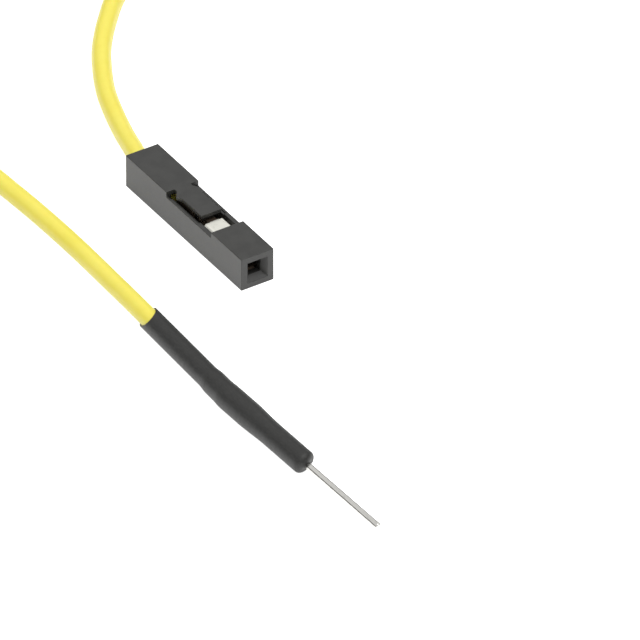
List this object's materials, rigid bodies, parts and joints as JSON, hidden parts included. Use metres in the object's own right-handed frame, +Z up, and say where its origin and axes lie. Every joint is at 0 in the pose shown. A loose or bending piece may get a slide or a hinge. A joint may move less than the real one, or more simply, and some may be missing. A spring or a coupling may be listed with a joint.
{
  "type": "breadboard jumper wire",
  "caption": "Yellow jumper lead with a black crimp socket housing at one end and a heat-shrink sleeved round pin at the other.",
  "frame": {"origin": "middle of the underside of the socket housing, on the surface that the lead lies on", "axes": "+X along the housing from its wire end to its mating face, +Z up out of the surface, +Y across the housing, away from the pin end"},
  "size_m": [0.0803, 0.0257, 0.0025],
  "materials": {
    "black_nylon": "satin moulded black nylon",
    "yellow_pvc": "smooth soft yellow PVC insulation",
    "tinned_bronze": "bright tin-plated stamped bronze",
    "tinned_copper": "tinned copper strand",
    "plated_brass": "bright nickel-plated turned brass",
    "solder": "soft grey solder",
    "shrink_tube": "satin black heat-shrink tubing"
  },
  "bodies": {
    "root": {"housing": "black_nylon", "socket_terminal": "tinned_bronze", "wire": "yellow_pvc", "strand_1_socket_end": "tinned_copper", "strand_2_socket_end": "tinned_copper", "strand_3_socket_end": "tinned_copper", "strand_4_socket_end": "tinned_copper", "strand_5_socket_end": "tinned_copper", "strand_6_socket_end": "tinned_copper", "strand_7_socket_end": "tinned_copper", "pin_contact": "plated_brass", "solder_joint": "solder", "heat_shrink_sleeve": "shrink_tube", "strand_1_pin_end": "tinned_copper", "strand_2_pin_end": "tinned_copper", "strand_3_pin_end": "tinned_copper", "strand_4_pin_end": "tinned_copper", "strand_5_pin_end": "tinned_copper", "strand_6_pin_end": "tinned_copper", "strand_7_pin_end": "tinned_copper"}
  },
  "joints": []
}
